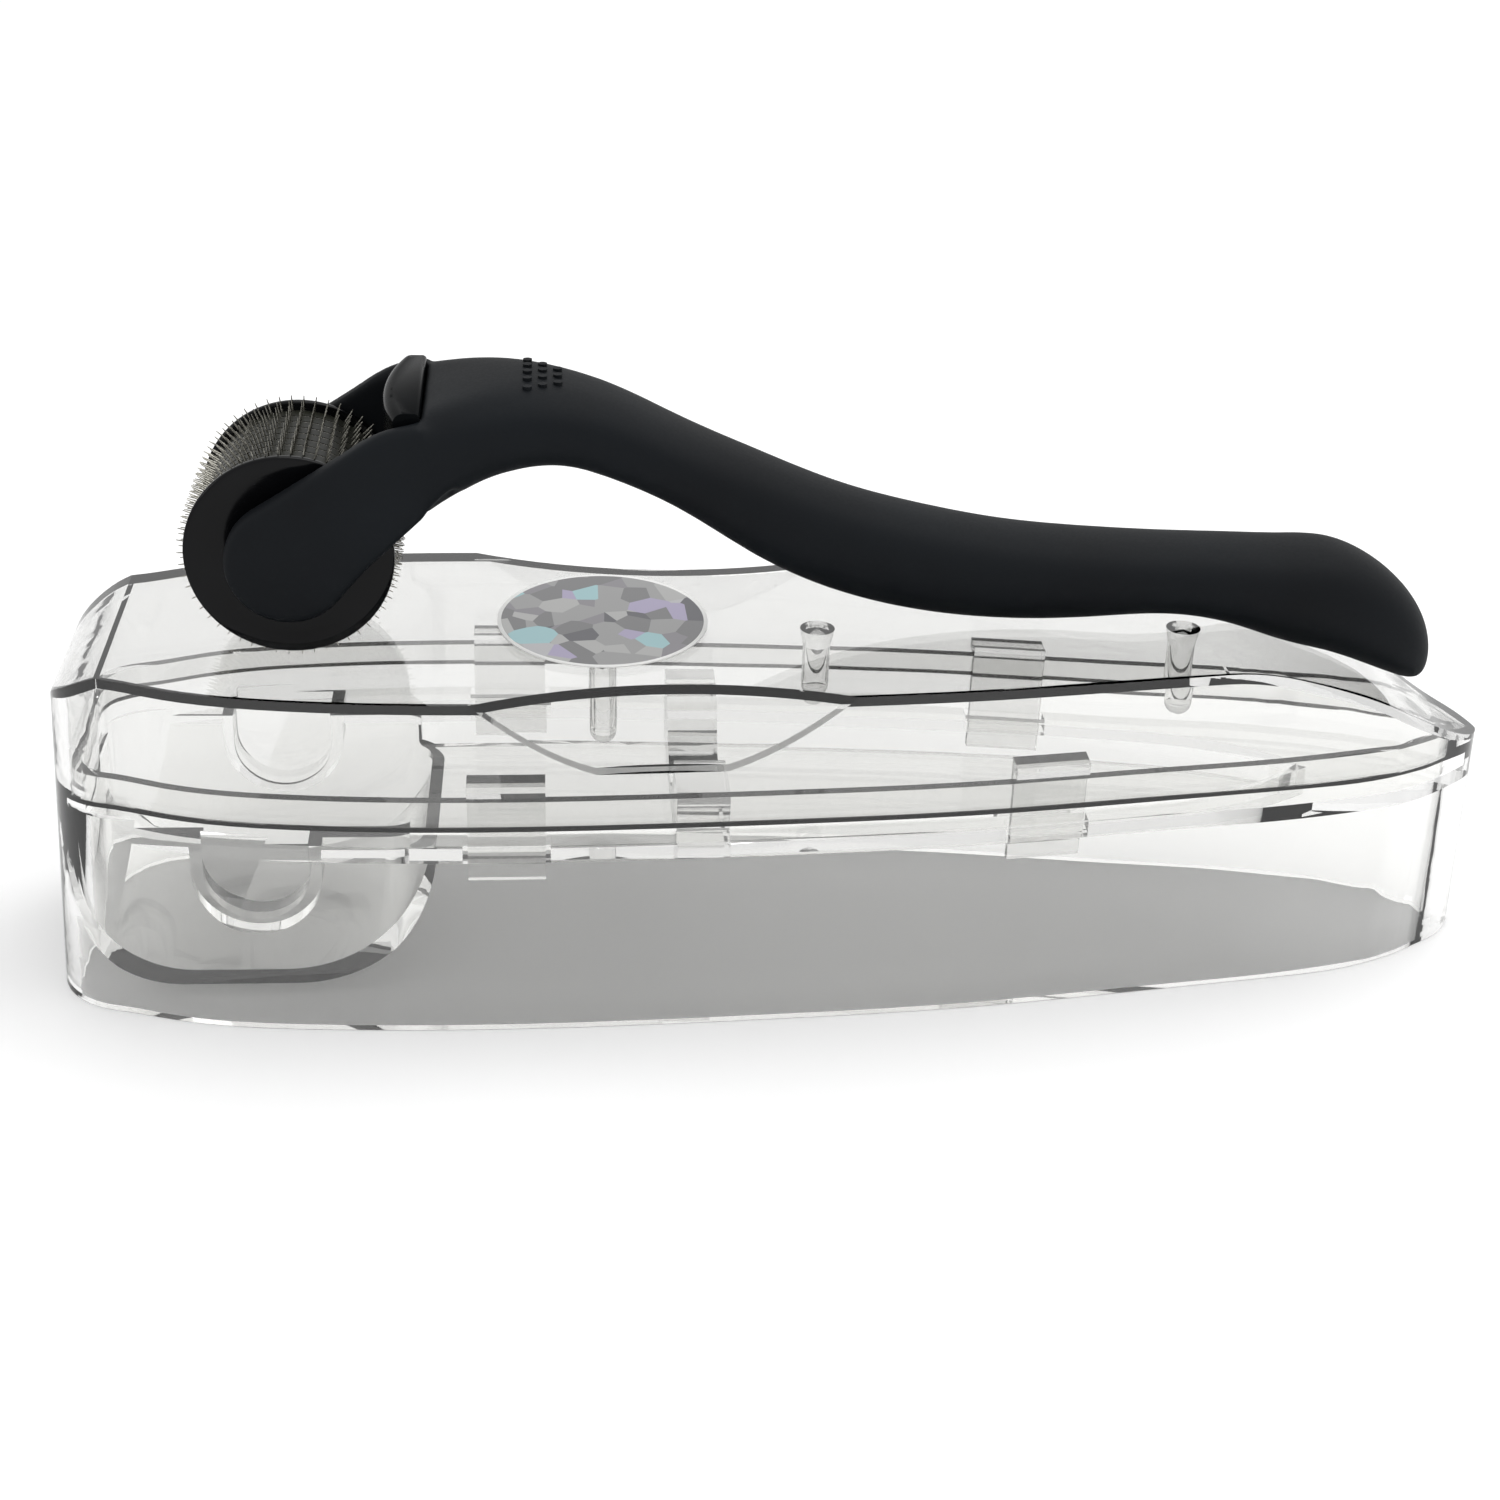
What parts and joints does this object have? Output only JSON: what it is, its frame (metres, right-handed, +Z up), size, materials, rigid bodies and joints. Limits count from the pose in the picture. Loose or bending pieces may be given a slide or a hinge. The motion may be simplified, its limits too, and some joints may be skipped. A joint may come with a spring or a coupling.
{
  "type": "derma roller",
  "caption": "Hand-held derma roller with a needle drum in a forked, curved handle, resting on its closed clear storage case.",
  "frame": {"origin": "middle of the storage case's underside", "axes": "+X along the case from the roller's head to its tail, +Y from front to back, +Z up"},
  "size_m": [0.1692, 0.0448, 0.0708],
  "materials": {
    "clear_plastic": "clear polished polystyrene",
    "holographic_foil": "silver holographic foil with small prisms",
    "soft_touch_black": "matte soft-touch",
    "gloss_black": "polished black",
    "needle_steel": "etched stainless sheet",
    "axle_steel": "turned",
    "bush_plastic": "natural acetal"
  },
  "bodies": {
    "case_base": {"case_base": "clear_plastic"},
    "case_lid": {"case_lid": "clear_plastic", "lid_sticker": "holographic_foil"},
    "roller_handle": {"handle_front_half": "soft_touch_black", "handle_back_half": "soft_touch_black", "fork_bridge": "gloss_black", "grip_dots": "soft_touch_black", "axle": "axle_steel", "front_washer": "axle_steel", "back_washer": "axle_steel"},
    "drum": {"back_bush": "bush_plastic", "back_flange": "gloss_black", "drum_core": "gloss_black", "front_bush": "bush_plastic", "front_flange": "gloss_black", "needle_disc_01": "needle_steel", "needle_disc_02": "needle_steel", "needle_disc_03": "needle_steel", "needle_disc_04": "needle_steel", "needle_disc_05": "needle_steel", "needle_disc_06": "needle_steel", "needle_disc_07": "needle_steel", "needle_disc_08": "needle_steel", "needle_disc_09": "needle_steel", "needle_disc_10": "needle_steel", "spacer_01": "gloss_black", "spacer_02": "gloss_black", "spacer_03": "gloss_black", "spacer_04": "gloss_black", "spacer_05": "gloss_black", "spacer_06": "gloss_black", "spacer_07": "gloss_black", "spacer_08": "gloss_black", "spacer_09": "gloss_black"}
  },
  "joints": [
    {"name": "lid_lift", "type": "slide", "parent": "case_base", "child": "case_lid", "axis": [0, 0, 1], "range_m": [0, 0.05]},
    {"name": "roller_lift", "type": "slide", "parent": "case_lid", "child": "roller_handle", "axis": [0, 0, 1], "range_m": [0, 0.05]},
    {"name": "drum_spin", "type": "hinge", "parent": "roller_handle", "child": "drum", "pos_m": [-0.0561, 0, 0.0527], "axis": [0, 1, 0], "continuous": true}
  ]
}
